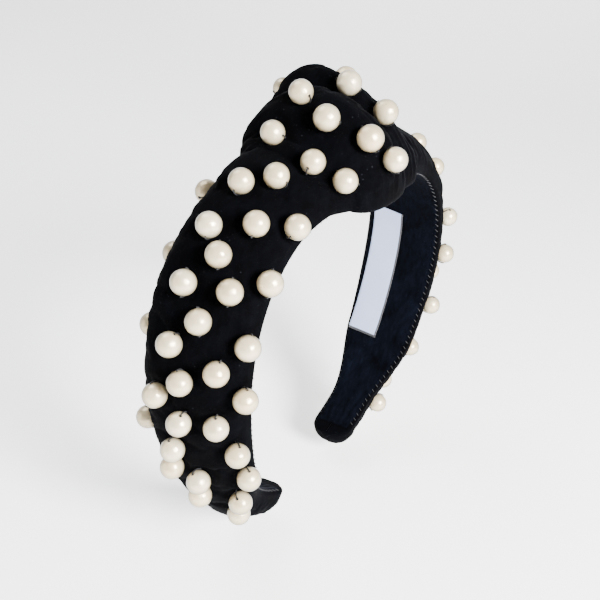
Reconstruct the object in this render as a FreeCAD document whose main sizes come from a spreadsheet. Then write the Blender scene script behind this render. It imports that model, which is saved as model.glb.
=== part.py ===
import FreeCAD, Part
import os, math
import Sketcher
from FreeCAD import Vector as V

os.makedirs("parts", exist_ok=True)
doc = FreeCAD.newDocument("headband")

# ---------------------------------------------------------------- driving dimensions (mm, degrees)
sheet = doc.addObject("Spreadsheet::Sheet", "Sheet")
CELLS = [
    # the arch: distance of the core's outer face from the arch centre, as a cosine series of the angle from the crown
    ("arch_mean", 68.382), ("arch_cos_one", 1.934), ("arch_cos_two", -0.721),
    ("arch_cos_three", -2.902), ("arch_cos_four", -1.586),
    ("cone_slope", 0.136),
    # width of the padded band at five angles from the crown
    ("width_crown", 44.63), ("width_forty", 34.11), ("width_eighty", 35.83),
    ("width_low", 32.55), ("width_tip", 18.23),
    ("pad_side", 1.6), ("pad_dome", 7.86), ("cover_thickness", 0.8),
    ("core_below", 0.8), ("core_above", 0.6), ("core_inset", 5.0),
    ("lining_low", 2.4), ("lining_thickness", 0.8), ("lining_inset", 1.0),
    ("wrap_thickness", 0.8), ("wrap_half_width", 21.6), ("wrap_angle", 14.0),
    ("hinge_angle", 34.0), ("hinge_play", 0.15),
    ("tip_start", 156.0), ("tip_end", 161.4),
    # the two lobes of the knot: middle and half length along X, height over the core, half size and shift across, lean to the back
    ("near_x", -8.3), ("near_half_x", 14.4), ("near_foot", 1.9), ("near_height", 21.9),
    ("near_half_y", 26.3), ("near_shift_y", -1.6), ("near_lean", 0.0), ("near_start", -19.5), ("near_end", 0.6),
    ("far_x", 8.2), ("far_half_x", 11.0), ("far_foot", 1.3), ("far_height", 23.0),
    ("far_half_y", 28.0), ("far_shift_y", 3.5), ("far_lean", 0.3), ("far_start", 0.75), ("far_end", 16.6),
    ("knot_cloth", 0.9), ("knot_least", 2.2), ("knot_seat_gap", 0.08),
    # beads and the stitches that hold them
    ("pearl_radius", 4.0), ("large_pearl_radius", 4.3), ("pearl_bore_radius", 0.55),
    ("thread_radius", 0.2), ("stitch_gap", 0.05), ("stitch_wrap", 62.0), ("stitch_depth", 4.55),
    # blank woven label inside the right leg
    ("label_top", 68.0), ("label_bottom", 118.0), ("label_width", 14.5), ("label_thickness", 0.5),
    ("tack_length", 1.9), ("tack_radius", 0.18),
]
for row, (alias, value) in enumerate(CELLS, start=1):
    sheet.set("A%d" % row, alias.replace("_", " "))
    sheet.set("B%d" % row, str(value))
    sheet.setAlias("B%d" % row, alias)
doc.recompute()


def cell(alias):
    return float(getattr(sheet, alias))


# ---------------------------------------------------------------- the arch curve and the band's section
ARCH = [cell("arch_mean"), cell("arch_cos_one"), cell("arch_cos_two"), cell("arch_cos_three"), cell("arch_cos_four")]
CONE = cell("cone_slope")
LOW = cell("lining_low")
# the origin is the middle of the crown's inner face, so the arch centre sits this far below it
DROP = sum(ARCH) - LOW - cell("wrap_thickness")
COVER_LOW = LOW - cell("lining_thickness")


def width(angle):
    p = abs(angle)
    ks = [(-40.0, cell("width_forty")), (0.0, cell("width_crown")), (40.0, cell("width_forty")),
          (80.0, cell("width_eighty")), (115.0, cell("width_low")), (145.0, cell("width_tip")),
          (175.0, cell("width_tip"))]
    i = 1
    while i < len(ks) - 2 and p > ks[i + 1][0]:
        i += 1

    def slope(j):
        if j <= 0 or j >= len(ks) - 1:
            return 0.0
        a = (ks[j][1] - ks[j - 1][1]) / (ks[j][0] - ks[j - 1][0])
        b = (ks[j + 1][1] - ks[j][1]) / (ks[j + 1][0] - ks[j][0])
        return 0.0 if a * b <= 0 else 2 * a * b / (a + b)

    x0, y0 = ks[i]
    x1, y1 = ks[i + 1]
    d = x1 - x0
    s = min(max((p - x0) / d, 0.0), 1.0)
    return (y0 * (2 * s**3 - 3 * s**2 + 1) + y1 * (3 * s**2 - 2 * s**3)
            + d * slope(i) * (s**3 - 2 * s**2 + s) + d * slope(i + 1) * (s**3 - s**2))


def station(angle):
    a = math.radians(angle)
    r = sum(c * math.cos(k * a) for k, c in enumerate(ARCH))
    dr = -sum(k * c * math.sin(k * a) for k, c in enumerate(ARCH))
    x, z = r * math.sin(a), r * math.cos(a)
    dx, dz = dr * math.sin(a) + r * math.cos(a), dr * math.cos(a) - r * math.sin(a)
    size = math.hypot(dx, dz)
    return x, z, (-dz / size, dx / size), (dx / size, dz / size)


def point(angle, y, off):
    """A point at this angle from the crown, this far across the band, this far out from the core's outer face."""
    x, z, n, t = station(angle)
    o = off + CONE * y
    return V(x + o * n[0], y, z + o * n[1] - DROP)


def dome(angle, inset, low, scale_w=1.0, scale_h=1.0, notch=False):
    """Closed section of the padded band: a domed outside, short upright sides and a flat inside."""
    hw = width(angle) / 2.0 * scale_w - inset
    ps, pd = cell("pad_side") * scale_h, (cell("pad_dome") - inset) * scale_h
    pts = []
    n = 18
    for k in range(n + 1):
        th = math.pi * k / n
        c = -math.cos(th)
        pts.append(point(angle, hw * c, ps * (1 - abs(c) ** 8) + pd * math.sin(th)))
    curve = Part.BSplineCurve()
    curve.interpolate(pts)
    if notch:
        hc = width(angle) / 2.0 - cell("core_inset")
        up = cell("core_above")
        poly = [pts[-1], point(angle, hw, -low), point(angle, hc, -low), point(angle, hc, up),
                point(angle, -hc, up), point(angle, -hc, -low), point(angle, -hw, -low), pts[0]]
    else:
        poly = [pts[-1], point(angle, hw, -low), point(angle, -hw, -low), pts[0]]
    edges = [curve.toShape()]
    for a, b in zip(poly[:-1], poly[1:]):
        edges.append(Part.LineSegment(a, b).toShape())
    return Part.Wire(edges)


def slab(angle, y0, y1, off0, off1):
    """Closed rectangular section between two offsets from the core's outer face."""
    p = [point(angle, y0, off1), point(angle, y1, off1), point(angle, y1, off0), point(angle, y0, off0)]
    return Part.Wire([Part.LineSegment(p[i], p[(i + 1) % 4]).toShape() for i in range(4)])


def steps(a, b, pitch):
    n = max(2, int(math.ceil(abs(b - a) / pitch)))
    return [a + (b - a) * k / n for k in range(n + 1)]


def loft(wires, ruled=False):
    s = Part.makeLoft(wires, True, ruled, False)
    if s.ShapeType != "Solid":
        s = s.Solids[0]
    if s.Volume < 0:
        s.reverse()
    return s


made = []


def feature(label, shape, export=True):
    obj = doc.addObject("Part::Feature", label)
    obj.Shape = shape
    obj.Placement = FreeCAD.Placement(V(0, 0, 0), FreeCAD.Rotation())
    obj.Label = label
    if export:
        made.append(obj)
    return obj


HA, PLAY, TS, TE = cell("hinge_angle"), cell("hinge_play"), cell("tip_start"), cell("tip_end")
CT = cell("cover_thickness")
SPANS = {
    "crown": (-HA + PLAY, HA - PLAY, 7.0),
    "left": (-HA - PLAY, -TS, 9.0),
    "right": (HA + PLAY, TS, 9.0),
}

# ---------------------------------------------------------------- band: spring core, padding, velvet cover, lining
for side, (a0, a1, pitch) in SPANS.items():
    angles = steps(a0, a1, pitch)
    core = loft([slab(a, -(width(a) / 2 - cell("core_inset")), width(a) / 2 - cell("core_inset"),
                      -cell("core_below"), cell("core_above")) for a in angles])
    feature("spring_core_" + side, core)
    inner_low = COVER_LOW - CT
    pad = loft([dome(a, CT, inner_low, notch=True) for a in angles])
    feature("foam_pad_" + side, pad)
    outside = loft([dome(a, 0.0, COVER_LOW) for a in angles])
    inside = loft([dome(a, CT, inner_low) for a in angles])
    feature("velvet_cover_" + side, outside.cut(inside))
    hl = cell("lining_inset")
    lining = loft([slab(a, -(width(a) / 2 - hl), width(a) / 2 - hl, -LOW, -COVER_LOW) for a in angles])
    feature("lining_" + side, lining)

# ---------------------------------------------------------------- folded velvet ends of the two legs
for side, sign in (("left", -1), ("right", 1)):
    span = TE - TS
    wires = []
    for f, sw, sh in ((0.01, 1.0, 1.0), (0.3, 0.985, 0.97), (0.6, 0.92, 0.9), (0.85, 0.8, 0.76), (1.0, 0.66, 0.55)):
        wires.append(dome(sign * (TS + f * span), 0.0, LOW, sw, sh))
    feature("velvet_tip_" + side, loft(wires))

# ---------------------------------------------------------------- the knot over the crown
def lobe_arc(prefix, angle, inset):
    """Outline of one lobe over the band at this angle, from its front foot to its back foot."""
    hw = width(angle) / 2.0
    x = station(angle)[0]
    swell = math.sqrt(max(0.0, 1 - ((x - cell(prefix + "_x")) / cell(prefix + "_half_x")) ** 2))
    least = cell("knot_least")
    top = max(cell(prefix + "_foot") + cell(prefix + "_height") * swell, cell("pad_side") + cell("pad_dome") + least)
    half = hw + least + max(0.0, cell(prefix + "_half_y") - hw - least) * swell - inset
    mid = cell(prefix + "_shift_y") * swell
    lean = cell(prefix + "_lean") * swell
    pts = []
    n = 20
    for k in range(n + 1):
        th = math.pi * k / n
        c = -math.cos(th)
        rise = (top - inset) * max(math.sin(th), 0.0) * (1 + lean * c)
        floor = 0.0
        if abs(mid + half * c) < hw:
            v = abs(mid + half * c) / hw
            floor = cell("pad_side") * (1 - v ** 8) + cell("pad_dome") * math.sqrt(1 - v * v) + least - inset
        pts.append(point(angle, mid + half * c, max(rise, floor)))
    return pts, mid - half, mid + half


def arc_edge(pts):
    curve = Part.BSplineCurve()
    curve.interpolate(pts)
    return curve.toShape()


def ring(angle, outer, inner):
    """Closed section between two outlines, both standing on the level of the band's inner face."""
    (po, a0, a1), (pi, b0, b1) = outer, inner
    lo = [po[-1], point(angle, a1, -LOW), point(angle, b1, -LOW), pi[-1]]
    hi = [pi[0], point(angle, b0, -LOW), point(angle, a0, -LOW), po[0]]
    edges = [arc_edge(po)]
    edges += [Part.LineSegment(p, q).toShape() for p, q in zip(lo[:-1], lo[1:])]
    edges += [arc_edge(list(reversed(pi)))]
    edges += [Part.LineSegment(p, q).toShape() for p, q in zip(hi[:-1], hi[1:])]
    return Part.Wire(edges)


def band_arc(angle):
    hw = width(angle) / 2.0 + cell("knot_seat_gap")
    pts = []
    for k in range(19):
        th = math.pi * k / 18
        c = -math.cos(th)
        pts.append(point(angle, hw * c, cell("pad_side") * (1 - abs(c) ** 8)
                         + (cell("pad_dome") + cell("knot_seat_gap")) * math.sin(th)))
    return pts, -hw, hw


for prefix in ("near", "far"):
    k0, k1 = cell(prefix + "_start"), cell(prefix + "_end")
    angles = steps(k0, k1, 2.6)
    cloth, pad = [], []
    for a in angles:
        out, mid = lobe_arc(prefix, a, 0.0), lobe_arc(prefix, a, cell("knot_cloth"))
        cloth.append(ring(a, out, mid))
        pad.append(ring(a, mid, band_arc(a)))
    feature("knot_wrap_" + prefix, loft(cloth))
    feature("knot_pad_" + prefix, loft(pad))

wa, wh = cell("wrap_angle"), cell("wrap_half_width")
feature("knot_underwrap", loft([slab(a, -wh, wh, -LOW - cell("wrap_thickness"), -LOW) for a in steps(-wa, wa, 7.0)]))

# ---------------------------------------------------------------- one bead, turned about its bore, and one stitch
body = doc.addObject("PartDesign::Body", "pearl_master")
big_body = doc.addObject("PartDesign::Body", "large_pearl_master")


def bead(part, radius_alias):
    plane = [f for f in part.Origin.OriginFeatures if f.Role == "XZ_Plane"][0]
    axis = [f for f in part.Origin.OriginFeatures if f.Role == "Z_Axis"][0]
    sk = part.newObject("Sketcher::SketchObject", part.Name + "_sketch")
    sk.AttachmentSupport = [(plane, "")]
    sk.MapMode = "FlatFace"
    R, b = cell(radius_alias), cell("pearl_bore_radius")
    h = math.sqrt(R * R - b * b)
    a = math.atan2(h, b)
    arc = sk.addGeometry(Part.ArcOfCircle(Part.Circle(V(0, 0, 0), V(0, 0, 1), R), -a, a), False)
    line = sk.addGeometry(Part.LineSegment(V(b, -h, 0), V(b, h, 0)), False)
    sk.addConstraint(Sketcher.Constraint("Coincident", arc, 3, -1, 1))
    sk.addConstraint(Sketcher.Constraint("Coincident", arc, 1, line, 1))
    sk.addConstraint(Sketcher.Constraint("Coincident", arc, 2, line, 2))
    sk.addConstraint(Sketcher.Constraint("Vertical", line))
    rc = sk.addConstraint(Sketcher.Constraint("Radius", arc, R))
    sk.renameConstraint(rc, "ball")
    bc = sk.addConstraint(Sketcher.Constraint("DistanceX", -1, 1, line, 1, b))
    sk.renameConstraint(bc, "bore")
    sk.setExpression("Constraints.ball", "Sheet." + radius_alias)
    sk.setExpression("Constraints.bore", "Sheet.pearl_bore_radius")
    doc.recompute()
    rev = part.newObject("PartDesign::Revolution", part.Name + "_turned")
    rev.Profile = sk
    rev.ReferenceAxis = (axis, [""])
    rev.Angle = 360.0
    part.Tip = rev
    doc.recompute()
    return rev


bead(body, "pearl_radius")
bead(big_body, "large_pearl_radius")


def stitch_shape(radius):
    """A thread through the bore along local Z, drawn down round the bead on both sides to its foot and into the cloth (local -X)."""
    r = cell("thread_radius")
    ring = radius + cell("stitch_gap") + r
    turn = cell("stitch_wrap")
    depth = cell("stitch_depth") + radius - cell("pearl_radius")
    a = math.radians(turn)
    bar = Part.makeCylinder(r, 2 * ring, V(0, 0, -ring), V(0, 0, 1))
    for s in (-1, 1):
        disc = Part.Face(Part.Wire(Part.makeCircle(r, V(0, 0, s * ring), V(1, 0, 0))))
        arc = disc.revolve(V(0, 0, 0), V(0, -s, 0), turn)
        foot = V(-ring * math.sin(a), 0, s * ring * math.cos(a))
        end = V(-depth, 0, foot.z)
        bar = bar.fuse([Part.makeSphere(r, V(0, 0, s * ring)), arc, Part.makeSphere(r, foot), Part.makeCylinder(r, foot.x - end.x, foot, V(-1, 0, 0))])
    return bar.removeSplitter()


STITCH = {0: stitch_shape(cell("pearl_radius")), 1: stitch_shape(cell("large_pearl_radius"))}
BEAD = {0: body.Shape, 1: big_body.Shape}

# group, size, centre, direction out of the cloth, direction of the bore
PEARLS = [
    ("crown_left", 0, -30.38, -10.15, 11.72, -0.221, -0.328, 0.919, 0.948, 0.147, 0.281),
    ("crown_left", 0, -43.18, -5.70, 9.12, -0.407, -0.238, 0.882, 0.020, 0.963, 0.269),
    ("crown_right", 0, 30.00, 19.39, 10.38, 0.256, 0.668, 0.699, 0.965, -0.212, -0.152),
    ("knot_far", 1, 3.19, -0.72, 29.03, -0.448, -0.377, 0.810, -0.332, 0.912, 0.241),
    ("knot_far", 1, 6.36, -14.05, 21.78, -0.106, -0.627, 0.771, 0.088, 0.767, 0.636),
    ("knot_far", 0, 14.18, 32.28, 18.61, 0.406, 0.840, 0.360, -0.818, 0.510, -0.267),
    ("knot_far", 1, 20.02, 10.19, 25.96, 0.861, -0.052, 0.506, 0.132, 0.983, -0.124),
    ("knot_far", 0, 4.67, 34.88, 5.14, -0.178, 0.982, -0.070, 0.912, 0.191, 0.362),
    ("knot_near", 0, -17.31, 4.80, 27.99, -0.536, 0.080, 0.841, 0.260, 0.963, 0.074),
    ("knot_near", 1, -21.39, -7.91, 23.29, -0.731, -0.230, 0.642, -0.230, 0.969, 0.086),
    ("knot_near", 1, -16.67, -21.51, 19.16, -0.389, -0.607, 0.693, 0.019, 0.747, 0.665),
    ("knot_near", 0, -10.52, -28.04, 12.65, -0.094, -0.862, 0.498, 0.101, 0.489, 0.866),
    ("knot_near", 0, -26.46, -20.01, 7.31, -0.896, -0.335, 0.291, -0.318, 0.942, 0.103),
    ("knot_near", 0, -27.54, 7.43, 16.07, -0.853, 0.027, 0.521, 0.023, 1.000, -0.014),
    ("knot_near", 0, -6.56, 28.39, 4.13, 0.024, 0.997, -0.078, -0.458, 0.080, 0.885),
    ("left_lower", 0, -78.27, 1.37, -75.57, -0.960, -0.080, -0.269, -0.279, 0.172, 0.945),
    ("left_lower", 0, -70.52, -18.21, -72.48, -0.604, -0.776, -0.185, -0.061, -0.186, 0.981),
    ("left_lower", 0, -73.05, -5.58, -88.06, -0.917, -0.241, -0.317, -0.386, 0.338, 0.859),
    ("left_lower", 0, -64.25, -19.06, -85.13, -0.428, -0.884, -0.191, -0.216, -0.106, 0.971),
    ("left_lower", 0, -62.46, -15.39, -98.30, -0.551, -0.727, -0.410, -0.583, -0.016, 0.812),
    ("left_lower", 0, -68.47, 20.68, -77.08, -0.207, 0.970, -0.128, -0.045, 0.121, 0.992),
    ("left_lower", 0, -75.51, 3.66, -85.22, -0.948, -0.044, -0.315, -0.311, -0.087, 0.947),
    ("left_lower", 0, -69.92, -4.02, -96.46, -0.878, -0.227, -0.422, -0.477, 0.330, 0.815),
    ("left_lower", 0, -58.58, -12.39, -107.28, -0.517, -0.693, -0.502, -0.725, 0.042, 0.688),
    ("left_middle", 0, -80.87, 1.82, -35.91, -0.979, -0.080, 0.185, 0.202, -0.338, 0.919),
    ("left_middle", 0, -70.80, -19.23, -33.05, -0.576, -0.805, 0.145, 0.308, -0.049, 0.950),
    ("left_middle", 0, -77.50, -13.37, -41.27, -0.886, -0.458, 0.075, 0.161, -0.153, 0.975),
    ("left_middle", 0, -81.37, -3.03, -47.12, -0.978, -0.204, 0.044, -0.012, 0.263, 0.965),
    ("left_middle", 0, -81.91, 6.04, -55.09, -0.996, 0.000, -0.085, -0.080, 0.342, 0.936),
    ("left_middle", 0, -71.28, -20.15, -50.79, -0.488, -0.873, -0.008, 0.050, -0.037, 0.998),
    ("left_middle", 0, -80.46, -2.53, -62.49, -0.972, -0.156, -0.176, -0.132, -0.258, 0.957),
    ("left_middle", 0, -76.66, -13.91, -60.86, -0.864, -0.493, -0.100, -0.122, 0.014, 0.992),
    ("left_middle", 0, -66.90, 21.03, -42.22, 0.588, 0.805, -0.078, 0.048, 0.061, 0.997),
    ("left_upper", 0, -50.49, 1.79, 7.14, -0.505, -0.065, 0.860, 0.862, -0.004, 0.506),
    ("left_upper", 0, -64.18, 2.35, -3.04, -0.683, -0.097, 0.724, 0.685, 0.259, 0.681),
    ("left_upper", 0, -57.69, -9.75, -0.89, -0.611, -0.355, 0.708, 0.712, 0.144, 0.687),
    ("left_upper", 0, -48.80, -18.29, -1.95, -0.322, -0.792, 0.519, 0.855, -0.007, 0.519),
    ("left_upper", 0, -68.14, -4.65, -8.94, -0.786, -0.235, 0.571, 0.491, 0.325, 0.809),
    ("left_upper", 0, -75.00, 2.15, -17.79, -0.888, -0.070, 0.454, 0.438, 0.174, 0.882),
    ("left_upper", 0, -70.94, -11.62, -17.53, -0.795, -0.413, 0.444, 0.416, 0.162, 0.895),
    ("left_upper", 0, -61.96, -19.18, -15.39, -0.426, -0.848, 0.315, 0.398, 0.137, 0.907),
    ("left_upper", 0, -77.38, -5.79, -26.83, -0.910, -0.274, 0.310, 0.211, 0.337, 0.918),
    ("left_upper", 0, -42.12, 20.88, -3.72, 0.081, 0.957, -0.278, 0.962, -0.002, 0.272),
    ("left_upper", 0, -58.12, 19.88, -19.83, 0.644, 0.654, -0.397, 0.666, -0.222, 0.712),
    ("right_lower", 0, 71.32, -16.94, -74.77, 0.693, -0.696, -0.190, -0.080, 0.187, -0.979),
    ("right_lower", 0, 66.50, -12.80, -95.77, 0.773, -0.512, -0.375, -0.392, 0.078, -0.916),
    ("right_lower", 0, 49.99, -8.85, -119.35, 0.445, -0.656, -0.610, -0.682, 0.194, -0.705),
    ("right_lower", 0, 77.79, -0.00, -76.81, 0.958, -0.124, -0.258, -0.235, 0.171, -0.957),
    ("right_lower", 0, 73.28, -8.50, -84.71, 0.898, -0.313, -0.309, -0.238, 0.245, -0.940),
    ("right_lower", 0, 73.12, 6.93, -91.45, 0.923, 0.093, -0.373, -0.322, -0.341, -0.883),
    ("right_lower", 0, 68.95, -1.58, -99.60, 0.882, -0.146, -0.448, -0.470, -0.338, -0.815),
    ("right_lower", 0, 65.68, 13.07, -102.34, 0.697, 0.523, -0.491, -0.651, 0.174, -0.738),
    ("right_lower", 0, 63.01, 4.58, -110.22, 0.809, 0.087, -0.582, -0.545, -0.260, -0.797),
    ("right_lower", 0, 59.38, -5.55, -112.68, 0.737, -0.358, -0.573, -0.653, -0.159, -0.740),
    ("right_lower", 0, 52.92, 0.98, -121.92, 0.687, -0.050, -0.725, -0.694, -0.341, -0.634),
    ("right_lower", 0, 39.81, 6.62, -130.50, 0.475, 0.432, -0.766, -0.800, -0.151, -0.581),
    ("right_middle", 0, 74.55, -15.89, -34.26, 0.778, -0.612, 0.140, 0.334, 0.214, -0.918),
    ("right_middle", 0, 74.94, -17.40, -50.94, 0.728, -0.685, -0.031, -0.159, -0.124, -0.979),
    ("right_middle", 0, 78.51, 0.35, -27.12, 0.948, -0.095, 0.305, 0.319, 0.338, -0.886),
    ("right_middle", 0, 72.25, 20.98, -35.01, 0.302, 0.951, 0.065, 0.035, 0.057, -0.998),
    ("right_middle", 0, 79.15, -7.52, -36.65, 0.944, -0.289, 0.160, 0.112, -0.174, -0.978),
    ("right_middle", 0, 81.89, 7.16, -43.99, 0.996, 0.063, 0.063, 0.081, -0.339, -0.937),
    ("right_middle", 0, 81.28, -2.15, -54.27, 0.986, -0.166, -0.013, -0.029, -0.098, -0.995),
    ("right_middle", 0, 77.84, -11.16, -62.20, 0.919, -0.371, -0.133, -0.207, -0.166, -0.964),
    ("right_middle", 0, 80.10, 7.41, -67.97, 0.981, 0.042, -0.190, -0.173, -0.258, -0.950),
    ("right_upper", 0, 64.28, -1.06, -3.66, 0.707, -0.102, 0.700, 0.637, -0.339, -0.692),
    ("right_upper", 0, 66.12, 7.42, -5.10, 0.738, 0.068, 0.671, 0.666, 0.086, -0.741),
    ("right_upper", 0, 70.00, -8.07, -13.45, 0.779, -0.338, 0.529, 0.467, -0.251, -0.848),
    ("right_upper", 0, 75.26, -5.86, -21.84, 0.875, -0.284, 0.392, 0.382, -0.092, -0.919),
    ("right_upper", 0, 49.60, 16.54, 4.15, 0.391, 0.600, 0.698, 0.816, 0.126, -0.565),
    ("right_upper", 0, 70.68, 2.59, -10.83, 0.818, -0.038, 0.574, 0.563, 0.258, -0.785),
    ("right_upper", 0, 62.14, 20.47, -13.32, 0.249, 0.948, 0.197, 0.838, -0.109, -0.535),
    ("right_upper", 0, 75.65, 10.87, -20.38, 0.887, 0.180, 0.425, 0.349, 0.343, -0.872),
]

beads, stitches = {}, {}
for group, size, x, y, z, nx, ny, nz, tx, ty, tz in PEARLS:
    out, bore = V(nx, ny, nz), V(tx, ty, tz)
    out.normalize()
    bore = bore - out * bore.dot(out)
    bore.normalize()
    third = bore.cross(out)
    m = FreeCAD.Matrix(out.x, third.x, bore.x, x, out.y, third.y, bore.y, y, out.z, third.z, bore.z, z, 0, 0, 0, 1)
    place = FreeCAD.Placement(m)
    b = BEAD[size].Solids[0].copy()
    b.Placement = place
    beads.setdefault(group, []).append(b)
    s = STITCH[size].copy()
    s.Placement = place
    region = group if group.startswith("knot") else group.split("_")[0]
    stitches.setdefault(region, []).append(s if s.ShapeType == "Solid" else s.Solids[0])
for group, solids in beads.items():
    feature("pearls_" + group, Part.makeCompound(solids))
for region, solids in stitches.items():
    feature("threads_" + region, Part.makeCompound(solids))

# ---------------------------------------------------------------- blank woven label and the tacks that hold it
lt, lb, lw, lh = cell("label_top"), cell("label_bottom"), cell("label_width"), cell("label_thickness")
feature("woven_label", loft([slab(a, 0.0, lw, -LOW - lh, -LOW) for a in steps(lt, lb, 7.0)]))
tacks = []
tl, tr = cell("tack_length"), cell("tack_radius")
for a in (lt + 1.3, lb - 1.3):
    for k in range(4):
        y = 1.6 + k * (lw - 3.2) / 3.0
        p0, p1 = point(a, y - tl / 2, -LOW - lh), point(a, y + tl / 2, -LOW - lh)
        d = p1 - p0
        tacks.append(Part.makeCylinder(tr, d.Length, p0, d))
feature("label_tacks", Part.makeCompound(tacks))

# ---------------------------------------------------------------- checks and export
doc.recompute()
bad = []
for obj in doc.Objects:
    if any(word in ("Invalid", "Error") for word in obj.State):
        bad.append(obj.Label)
    if obj.isDerivedFrom("Part::Feature") and (obj.Shape.isNull() or not obj.Shape.isValid()):
        bad.append(obj.Label + " shape")
if bad:
    raise RuntimeError("objects not valid: " + ", ".join(bad))
names = [obj.Label for obj in made]
if len(set(names)) != len(names):
    raise RuntimeError("two pieces share a label")
for obj in made:
    shape = obj.Shape
    if len(shape.Solids) < 1:
        raise RuntimeError(obj.Label + " holds no solid")
    print("%-24s solids %3d  volume %9.2f  box %.1f %.1f %.1f .. %.1f %.1f %.1f" % (
        obj.Label, len(shape.Solids), shape.Volume, shape.BoundBox.XMin, shape.BoundBox.YMin, shape.BoundBox.ZMin,
        shape.BoundBox.XMax, shape.BoundBox.YMax, shape.BoundBox.ZMax))
    shape.exportStep("parts/%s.step" % obj.Label)
print("nodes", len(made))
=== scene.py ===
import math
import bpy
import numpy as np
from mathutils import Matrix, Vector


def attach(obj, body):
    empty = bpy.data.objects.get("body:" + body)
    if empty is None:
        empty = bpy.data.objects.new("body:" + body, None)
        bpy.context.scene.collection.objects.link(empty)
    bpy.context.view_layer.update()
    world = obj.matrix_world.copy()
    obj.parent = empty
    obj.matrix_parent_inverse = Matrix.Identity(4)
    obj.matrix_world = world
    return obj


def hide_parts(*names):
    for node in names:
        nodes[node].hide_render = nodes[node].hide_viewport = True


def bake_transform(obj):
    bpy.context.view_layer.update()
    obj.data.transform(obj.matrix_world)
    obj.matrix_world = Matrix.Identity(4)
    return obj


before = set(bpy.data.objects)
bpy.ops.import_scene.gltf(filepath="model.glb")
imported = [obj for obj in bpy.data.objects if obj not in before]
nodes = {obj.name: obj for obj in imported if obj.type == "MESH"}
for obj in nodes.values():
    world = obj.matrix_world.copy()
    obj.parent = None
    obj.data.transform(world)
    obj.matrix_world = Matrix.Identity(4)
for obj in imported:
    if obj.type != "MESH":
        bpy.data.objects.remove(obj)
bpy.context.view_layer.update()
MM = 0.001

# ------------------------------------------------------------------ the band's own curve, as in the CAD (mm, degrees)
ARCH = (68.382, 1.934, -0.721, -2.902, -1.586)
CONE, PS, PT, LOW, WRAP = 0.136, 1.6, 7.86, 2.4, 0.8
DROP = sum(ARCH) - LOW - WRAP
WIDTHS = [(-40.0, 34.11), (0.0, 44.63), (40.0, 34.11), (80.0, 35.83), (115.0, 32.55), (145.0, 18.23), (175.0, 18.23)]


def width(angle):
    p = abs(angle)
    ks = WIDTHS
    i = 1
    while i < len(ks) - 2 and p > ks[i + 1][0]:
        i += 1

    def slope(j):
        if j <= 0 or j >= len(ks) - 1:
            return 0.0
        a = (ks[j][1] - ks[j - 1][1]) / (ks[j][0] - ks[j - 1][0])
        b = (ks[j + 1][1] - ks[j][1]) / (ks[j + 1][0] - ks[j][0])
        return 0.0 if a * b <= 0 else 2 * a * b / (a + b)

    x0, y0 = ks[i]
    x1, y1 = ks[i + 1]
    d = x1 - x0
    s = min(max((p - x0) / d, 0.0), 1.0)
    return (y0 * (2 * s**3 - 3 * s**2 + 1) + y1 * (3 * s**2 - 2 * s**3)
            + d * slope(i) * (s**3 - 2 * s**2 + s) + d * slope(i + 1) * (s**3 - s**2))


def station(angle):
    a = math.radians(angle)
    r = sum(c * math.cos(k * a) for k, c in enumerate(ARCH))
    dr = -sum(k * c * math.sin(k * a) for k, c in enumerate(ARCH))
    x, z = r * math.sin(a), r * math.cos(a)
    dx, dz = dr * math.sin(a) + r * math.cos(a), dr * math.cos(a) - r * math.sin(a)
    size = math.hypot(dx, dz)
    return x, z, (-dz / size, dx / size)


def point(angle, y, off):
    x, z, n = station(angle)
    o = off + CONE * y
    return (x + o * n[0], y, z + o * n[1] - DROP)


def smax(a, b, k):
    return 0.5 * (a + b + math.sqrt((a - b) ** 2 + k * k))


def step(e0, e1, v):
    s = min(max((v - e0) / (e1 - e0), 0.0), 1.0)
    return s * s * (3 - 2 * s)


def dome(angle, c, sw=1.0, sh=1.0):
    """Outer face of the padded band: c runs -1 to 1 across it."""
    hw = width(angle) / 2.0 * sw
    return hw * c, (PS * (1 - abs(c) ** 8) + PT * math.sqrt(max(0.0, 1 - c * c))) * sh


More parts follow.
